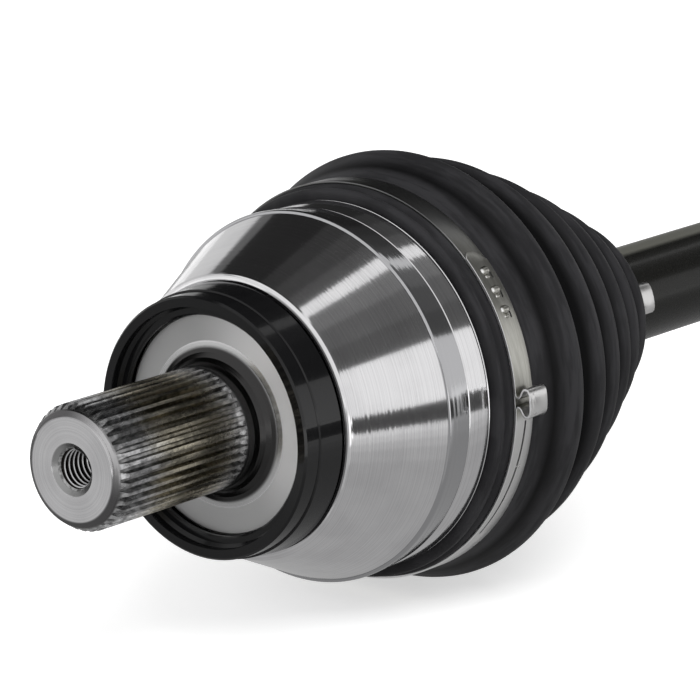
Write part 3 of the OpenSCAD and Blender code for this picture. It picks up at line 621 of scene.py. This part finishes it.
# %% Spin the ground band
band_outline = [(30.75, 44.94), (30.85, 45.4), (31.0, 45.62), (31.3, 45.74), (31.7, 45.8),
                (31.9, 45.785), (38.25, 45.3), (38.45, 45.285), (38.6, 45.2), (38.72, 44.9),
                (38.9, 44.9), (39.05, 45.14), (39.3, 45.2), (45.1, 45.74), (45.4, 45.76),
                (45.55, 45.5), (45.7, 45.5), (45.85, 45.72), (46.1, 45.6), (46.3, 45.2),
                (46.3, 43.5), (45.0, 43.0), (34.5, 43.0), (32.0, 44.5)]
ground_band = spun("bell_ground_band", band_outline)
soften(ground_band, 0.03, 2, 20.0)
dress(ground_band, steel)
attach(ground_band, "bell")

# %% [markdown]
# ## Rubber boots
# A boot keeps grease in a joint and dirt out. It is a bellows: crests and valleys that get
# smaller from the joint to the bar. Each fold is given as its place, its radius, the radius of
# its bend, and 1 for a crest or -1 for a valley. Between two bends the wall is straight and
# touches both arcs, so the only sum is where a line touches two circles. The gearbox boot has
# shallower folds, so that the bar stays out of sight inside it when its joint bends.

# %% Draw the folds
def bend_centre(fold):
    x, radius, bend, side = fold
    return Vector((x, radius - side * bend))


def flank(fold, other):
    """The angle at which the straight wall between two folds leaves their arcs."""
    crest, valley = (fold, other) if fold[3] > 0 else (other, fold)
    gap = bend_centre(valley) - bend_centre(crest)
    lean = math.degrees(math.acos((crest[2] + valley[2]) / gap.length))
    slope = math.degrees(math.atan(gap.y / gap.x))
    return slope + lean if valley[0] > crest[0] else 180.0 + slope - lean


def fold_path(folds, inset, lowest, steps=9, open_start=False, open_end=False):
    """The line of the folds, moved inwards by the wall. An open end stops at the fold's tip."""
    path, last = [], len(folds) - 1
    for i, fold in enumerate(folds):
        if (i == 0 and not open_start) or (i == last and not open_end):
            continue
        enter = flank(folds[i - 1], fold) if i > 0 else 90.0
        leave = flank(fold, folds[i + 1]) if i < last else 90.0
        for k in range(steps + 1):
            angle = math.radians(enter + (leave - enter) * k / steps)
            reach = fold[3] * (fold[2] - fold[3] * inset)
            point = bend_centre(fold) + reach * Vector((math.cos(angle), math.sin(angle)))
            path.append((point.x, max(point.y, lowest)))
    return path


wall, collar_reach = 1.8, 13.4
bar_radius, small_radius, small_length = 12.8, 15.0, 9.8
first_crest, last_crest, last_rise, crowding = 11.1, 3.6, 10.4, 0.93
crest_bend, valley_share = 3.8, 0.55


def boot_folds(count, length, collar_radius, rise, taper, depth):
    """Crests and valleys from the mouth to the small collar, which lie on one smooth taper."""
    steps = 2 * count - 2
    first_radius, last_radius = collar_radius + rise, small_radius + last_rise
    folds = [(1.0, collar_radius + 0.3, 0.0, -1)]
    for k in range(steps + 1):
        share = k / steps
        x = first_crest + (length - first_crest - last_crest) * share ** crowding
        radius = first_radius - (first_radius - last_radius) * share ** taper
        bend = crest_bend * (1.0 - share / 3.0)
        folds.append((x, radius, bend, 1) if k % 2 == 0
                     else (x, radius - depth * (1.0 - share / 5.0), valley_share * bend, -1))
    return folds + [(length - 0.6, small_radius, 0.8, -1),
                    (length + small_length, small_radius + 3, 0.8, 1)]


wheel_mouth_x, wheel_length, wheel_collar, wheel_seat = 60.0, 81.7, 48.9, 44.5
gear_mouth_x, gear_length, gear_collar, gear_seat = 380.0, 67.4, 46.0, 42.0
wheel_rise, wheel_taper, wheel_depth = 5.0, 1.19, 7.4
gear_rise, gear_taper, gear_depth = 0.8, 1.55, 3.9
wheel_folds = boot_folds(6, wheel_length, wheel_collar, wheel_rise, wheel_taper, wheel_depth)
gear_folds = boot_folds(5, gear_length, gear_collar, gear_rise, gear_taper, gear_depth)
print(sum(fold[3] > 0 for fold in wheel_folds), "crests on the wheel boot")

# %% [markdown]
# The rubber is matt and very dark. Its crests and collars are paler, partly from a faint bloom
# where the folds rub and partly as painted light, and its valleys are nearly black with painted
# shade. Its skin has the fine grain of the mould.

# %% Rubber
def boot_rubber(name, mouth_x, length, collar_radius, rise, taper_power, direction):
    """Rubber with painted shade that makes its valleys nearly black, and paler crests and collars
    whose grey bloom is partly wear and partly painted light.
    """
    rubber = Finish(name, specular_ior_level=0.13)
    grain = rubber.noise(2600.0, 3.0)
    bloom = rubber.noise(45.0, 4.0, (1.6, 1.0, 1.0))
    streak = rubber.noise(240.0, 5.0, (3.4, 0.4, 0.4))
    along = (rubber.x - mouth_x * MM) * (direction * 1000.0)
    share = rubber.node("Math", {"operation": "DIVIDE", "use_clamp": True},
                        {0: along - first_crest, 1: length - first_crest - last_crest})
    taper = rubber.node("Math", {"operation": "POWER"}, {0: share, 1: taper_power / crowding})
    first_radius, last_radius = collar_radius + rise, small_radius + last_rise
    depth = rubber.radius() * 1000.0 - first_radius + taper * (first_radius - last_radius)
    crest = depth.between(-3.4, -0.4)
    collar = 1.0 - along.between(2.0, 5.0) * (1.0 - along.between(length - 2.0, length))
    # Painted light and painted shade: the crests and collars are paler and the valleys nearly
    # black, and the bloom noise varies it.
    worn = crest.math("MAXIMUM", crest, collar) * (0.6 + 0.4 * (bloom * streak).between(0.18, 0.34))
    rubber.feed(
        base_color=rubber.mix(worn, (0.0015, 0.0015, 0.0018), (0.031, 0.0305, 0.033)),
        roughness=0.55 - 0.1 * worn + 0.1 * streak,
        normal=rubber.bump(grain, 0.012, rubber.bump(bloom, 0.25)),
    )
    return rubber


wheel_rubber = boot_rubber("wheel boot rubber", wheel_mouth_x, wheel_length, wheel_collar,
                           wheel_rise, wheel_taper, 1.0)
gear_rubber = boot_rubber("gearbox boot rubber", gear_mouth_x, gear_length, gear_collar,
                          gear_rise, gear_taper, -1.0)
print("rubber ready for both boots")

# %% The wheel-side boot
def collar_line(seat, collar):
    """The large collar, from its end behind the mouth, over its two ridges, to the first fold."""
    start = -collar_reach
    return [(start, seat + 0.05), (start, collar - 1.6), (start + 0.35, collar - 0.9),
            (start + 0.9, collar - 0.6), (start + 1.9, collar - 0.6), (start + 2.4, collar - 1.3),
            (start + 2.9, collar - 1.2), (start + 3.3, collar - 0.3), (start + 3.7, collar),
            (0.0, collar), (1.0, collar + 0.3)]


def small_end(length):
    bore = bar_radius + 0.05
    return [(length, small_radius), (length + small_length, small_radius),
            (length + small_length, bore), (length + 1.0, bore)]


outline = collar_line(wheel_seat, wheel_collar) + fold_path(wheel_folds, 0.0, small_radius)
outline += small_end(wheel_length) + fold_path(wheel_folds, wall, bar_radius + 0.05)[::-1]
outline += [(0.4, wheel_seat + 2.0), (0.2, wheel_seat + 0.05)]
wheel_boot = spun("wheel_boot", [(wheel_mouth_x + x, r) for x, r in outline])
soften(wheel_boot, 0.25, 2, 24.0)
dress(wheel_boot, wheel_rubber)
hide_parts("out_boot")
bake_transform(wheel_boot)

# %% [markdown]
# The gearbox joint bends and also slides, and a piece can follow only one joint. So this boot is
# cut into two pieces that meet in a valley: a sliding piece and a bending piece.

# %% The gearbox-side boot, in two pieces
split = 4


def from_housing(outline):
    return [(gear_mouth_x - x, r) for x, r in outline]


outline = collar_line(gear_seat, gear_collar)
outline += fold_path(gear_folds[:split + 1], 0.0, small_radius, open_end=True)
outline += fold_path(gear_folds[:split + 1], wall, bar_radius, open_end=True)[::-1]
outline += [(0.4, gear_seat + 2.0), (0.2, gear_seat + 0.05)]
sliding = spun("gear_boot_sliding", from_housing(outline))
outline = fold_path(gear_folds[split:], 0.0, small_radius, open_start=True) + small_end(gear_length)
outline += fold_path(gear_folds[split:], wall, bar_radius + 0.05, open_start=True)[::-1]
bending = spun("gear_boot_bending", from_housing(outline))
split_x = (gear_mouth_x - gear_folds[split][0]) * MM
for piece in (sliding, bending):
    soften(piece, 0.2, 2, 24.0)
    dress(piece, gear_rubber)
    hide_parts("in_boot")
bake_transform(sliding)
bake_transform(bending)

# %% [markdown]
# ## Ear clamps
# Each boot end is held by a strip clamp. The strip is punched flat, rolled round the boot, and
# its ear is pinched to draw it tight. The model is made in the same order: a flat strip with
# hooks and a slot, a raised ear, and then one Simple Deform modifier that rolls it all up. Flat,
# the strip lies along Z with its outside towards -Y. A length of z on the flat strip becomes the
# angle z / radius about the shaft.

# %% Stainless strip
stainless = Finish("stainless strip", metallic=1.0)
rolled = stainless.noise(300.0, 4.0, (6.0, 0.6, 0.6))
facing = stainless.node("SeparateXYZ", None, {0: stainless.node("NewGeometry", output="Normal")})
painted_edge_highlight = facing.math("ABSOLUTE", facing).between(0.6, 0.9)
strip_tone = stainless.mix(rolled.between(0.35, 0.65), (0.40, 0.395, 0.36), (0.49, 0.485, 0.45))
# Painted reflection: the strip is dark over its upper and back side, as if it mirrored dark things
# there.
painted_dark_side = stainless.angle().band(math.radians(50.0), math.radians(150.0), math.radians(12.0))
below = stainless.angle().band(math.radians(-70.0), math.radians(-1.0), math.radians(1.5))
reach = stainless.radius()
small_ear = reach.between(17.2 * MM, 17.6 * MM) * (1.0 - reach.between(24.0 * MM, 25.0 * MM))
raised = reach.between(51.2 * MM, 51.6 * MM) + small_ear
# Painted light: the strip is paler below the ear, and the ears are paler too.
strip_tone = stainless.mix(below.math("MAXIMUM", below, raised), strip_tone, (0.7, 0.695, 0.69))
# Painted highlight: the faces along the sheet's edges, which face along the shaft, are near white.
strip_tone = stainless.mix(painted_edge_highlight, strip_tone, (0.88, 0.88, 0.88))
stainless.feed(
    base_color=stainless.mix(painted_dark_side, strip_tone, (0.17, 0.17, 0.17)),
    roughness=0.27 + 0.1 * rolled,
    normal=stainless.bump(rolled, 0.004),
)
sheet_t = 0.55


def flat_path(radius, places):
    """Turns (angle in degrees, height) pairs into points on the flat strip."""
    return [(0.0, -height, math.radians(angle) * radius) for angle, height in places]


def evenly(start, end, count, height, end_height=None):
    """Evenly spaced places along the flat strip."""
    last = height if end_height is None else end_height
    return [(start + (end - start) * k / count, height + (last - height) * k / count)
            for k in range(count + 1)]


def strip(name, radius, places, width):
    """A sheet without thickness that follows a path along the flat clamp."""
    piece = start_piece(name)
    draw_path(flat_path(radius, places))
    bpy.ops.mesh.select_all(action="SELECT")
    bpy.ops.mesh.extrude_region_move(TRANSFORM_OT_translate={"value": (width * MM, 0.0, 0.0)})
    bpy.ops.object.mode_set(mode="OBJECT")
    return piece


def join(pieces, name):
    bpy.ops.object.select_all(action="DESELECT")
    for piece in pieces:
        piece.select_set(True)
    bpy.context.view_layer.objects.active = pieces[0]
    bpy.ops.object.join()
    pieces[0].name = pieces[0].data.name = name
    return pieces[0]


def weld(piece, threshold=2e-6):
    bpy.context.view_layer.objects.active = piece
    bpy.ops.object.mode_set(mode="EDIT")
    bpy.ops.mesh.select_all(action="SELECT")
    bpy.ops.mesh.remove_doubles(threshold=threshold)
    bpy.ops.mesh.normals_make_consistent(inside=False)
    bpy.ops.object.mode_set(mode="OBJECT")


def thicken(piece):
    sheet = piece.modifiers.new("sheet", "SOLIDIFY")
    sheet.thickness, sheet.offset = sheet_t * MM, 0.0
    sheet.use_even_offset = True
    bpy.context.view_layer.objects.active = piece
    bpy.ops.object.modifier_apply(modifier=sheet.name)


# %% [markdown]
# The ear is drawn from the side: a foot, a narrow throat, and a wide round lobe under a flat top.
# One half is written down, and the other half is its mirror image.

# %% The ear
ear_half = [(2.25, 0.0), (1.75, 0.08), (1.4, 0.3), (1.27, 0.65), (1.4, 1.02), (1.85, 1.45),
            (2.5, 1.8), (3.1, 2.1), (3.52, 2.55), (3.62, 3.05), (3.45, 3.55), (3.0, 3.92),
            (2.3, 4.12), (1.2, 4.2), (0.0, 4.22)]


def ear_places(middle, radius, height, level, narrow=1.0):
    """The ear as places on the flat strip, from the side of the larger angle to the other."""
    tall = height / ear_half[-1][1]
    side = [(u * narrow, level + h * tall) for u, h in ear_half]
    full = side + [(-u, h) for u, h in side[-2::-1]]
    return [(middle + math.degrees(u / radius), h) for u, h in full]


def bead(name, place, size):
    """A rounded bead pressed into the sheet: a ball squeezed to this size."""
    bpy.ops.object.select_all(action="DESELECT")
    bpy.ops.mesh.primitive_uv_sphere_add(segments=20, ring_count=12, radius=1.0)
    piece = bpy.context.object
    piece.name = piece.data.name = name
    piece.location, piece.scale = Vector(place) * MM, Vector(size) * MM
    bpy.ops.object.transform_apply(location=True, rotation=True, scale=True)
    return piece


def punch(piece, place, size, tilt=0.0):
    """Cuts a block out of a piece."""
    bpy.ops.object.select_all(action="DESELECT")
    bpy.ops.mesh.primitive_cube_add(size=1.0)
    block = bpy.context.object
    block.location, block.scale = Vector(place) * MM, Vector(size) * MM
    block.rotation_euler = (0.0, math.radians(tilt), 0.0)
    bpy.ops.object.transform_apply(location=True, rotation=True, scale=True)
    hole = piece.modifiers.new("hole", "BOOLEAN")
    hole.operation, hole.object = "DIFFERENCE", block
    bpy.context.view_layer.objects.active = piece
    bpy.ops.object.modifier_apply(modifier=hole.name)
    bpy.ops.object.select_all(action="DESELECT")
    block.select_set(True)
    bpy.ops.object.delete()


# %% [markdown]
# The outer layer starts with a tapered tip. Three hooks stand behind it on the large clamps: each
# is half a bead with a slot beside it. Below the ear a narrow slit parts the tongue of the strip
# from its guide. Slots and slit go through both layers, and the ear has a small hole and a bead.

# %% Punch the details
hook_start, hook_spacing = 25.5, 6.0
slot_size, hook_size, hook_foot_size = (0.55, 3.0, 1.7), (1.5, 1.2, 1.15), (0.85, 0.6, 0.6)
slit_start, slit_stop, slit_lean = 3.5, 43.5, 2.2


def tip_corners(top, taper, width):
    """The tapered tip, as pairs of a place across the strip and an angle along it."""
    return [(0.0, top - taper), (0.0, top - 0.4 * taper), (0.2 * width, top + 0.3 * taper),
            (0.55 * width, top + 0.2 * taper), (0.82 * width, top - 0.3 * taper),
            (width, top - taper)]


def punched_details(name, band, layer, width, degree, middle, foot, height, hooks):
    """Cuts slots, slit and holes, and returns the hooks and the bead as pieces."""
    level, details = 1.5 * sheet_t, []
    for number in range(hooks):
        at = (middle + hook_start + hook_spacing * number) * degree
        for sheet in (layer, band):
            punch(sheet, (0.66 * width, -level, at - 1.35), slot_size)
        details.append(bead(name + "_hook", (0.45 * width, -level - 0.1, at), hook_size))
        details.append(bead(name + "_hook_foot", (0.42 * width, -level - 0.1, at - 1.6),
                            hook_foot_size))
    slit_top, slit_end = (middle - foot - slit_start) * degree, (middle - slit_stop) * degree
    slit_length = slit_top - slit_end
    tilt = math.degrees(math.atan2(slit_lean, slit_length))
    for sheet in (layer, band):
        punch(sheet, (0.35 * width, -level + 0.2, (slit_top + slit_end) / 2),
              (0.65, 3.0, slit_length), tilt)
    punch(layer, (0.53 * width, -level + 0.2, (middle - 19.5) * degree), (1.0, 3.0, 1.0), 45.0)
    ear_top = level + height + sheet_t / 2
    details.append(bead(name + "_bead", (0.15 * width, -ear_top + 0.25, middle * degree + 0.2),
                        (0.7, 0.45, 2.1)))
    punch(layer, (0.24 * width, -ear_top, middle * degree - 2.3), (0.8, 1.6, 0.6))
    return details


print("three hooks at", [hook_start + hook_spacing * k for k in range(3)], "degrees from the ear")

# %% Thicken and roll
def ear_clamp(name, x, width, radius, middle, height, top, tail, hooks=0, narrow=1.0):
    """A whole clamp: the closed band, and the outer layer with its ear."""
    band = strip(name + "_band", radius, evenly(-180.0, 180.0, 180, sheet_t / 2), width)
    thicken(band)
    soften(band, 0.12, 2, 40.0)

    level = 1.5 * sheet_t
    degree = math.radians(1.0) * radius
    foot = math.degrees(ear_half[0][0] * narrow / radius)
    taper = 2.4 / degree
    places = evenly(top - taper, middle + foot, 40, level)
    places += ear_places(middle, radius, height, level, narrow)[1:-1]
    places += evenly(middle - foot, tail, 40, level, sheet_t / 2 + 0.15)
    tip = [(across, -level, angle * degree) for across, angle in tip_corners(top, taper, width)]
    layer = join([strip(name + "_layer", radius, places, width), fill_outline(name + "_tip", tip)],
                 name + "_layer")
    weld(layer)
    thicken(layer)
    soften(layer, 0.12, 2, 40.0)
    layer.location.x = -0.3 * MM
    bpy.ops.object.transform_apply(location=True, rotation=True, scale=True)

    pieces = [band, layer]
    if hooks:
        pieces += punched_details(name, band, layer, width, degree, middle, foot, height, hooks)
    clamp = join(pieces, name)
    flat = [vertex.co.z for vertex in clamp.data.vertices]
    roll = clamp.modifiers.new("roll", "SIMPLE_DEFORM")
    roll.deform_method, roll.deform_axis = "BEND", "X"
    roll.angle = (max(flat) - min(flat)) / (radius * MM)
    bpy.ops.object.modifier_apply(modifier=roll.name)
    clamp.location = (x * MM, -radius * MM, 0.0)
    bpy.ops.object.transform_apply(location=True, rotation=True, scale=True)
    weld(clamp)
    return clamp


# %% The four clamps
wheel_large = ear_clamp("wheel_large_clamp", x=50.9, width=6.6, radius=48.95, middle=3.5,
                        height=4.3, top=47.0, tail=-46.0, hooks=3, narrow=0.86)
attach(wheel_large, "bell")
wheel_small = ear_clamp("wheel_small_clamp", x=144.4, width=5.4, radius=15.05, middle=16.0,
                        height=4.9, top=70.0, tail=-20.0, narrow=0.8)
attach(wheel_small, "shaft")
gear_large = ear_clamp("gear_large_clamp", x=382.1, width=6.6, radius=46.05, middle=120.0,
                       height=4.3, top=163.5, tail=74.5, hooks=3, narrow=0.86)
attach(gear_large, "housing")
gear_small = ear_clamp("gear_small_clamp", x=304.8, width=5.4, radius=15.05, middle=120.0,
                       height=4.9, top=170.0, tail=84.0, narrow=0.8)
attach(gear_small, "shaft")
for clamp, node in ((wheel_large, "out_large_clamp"), (wheel_small, "out_small_clamp"),
                    (gear_large, "in_large_clamp"), (gear_small, "in_small_clamp")):
    bpy.ops.object.select_all(action="DESELECT")
    clamp.select_set(True)
    bpy.ops.object.shade_smooth_by_angle(angle=math.radians(35.0))
    dress(clamp, stainless)
    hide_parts(node)

# %% [markdown]
# ## Finish
# The last step sets the view transform to Standard.

# %% Set the view transform
bpy.context.scene.view_settings.view_transform = "Standard"
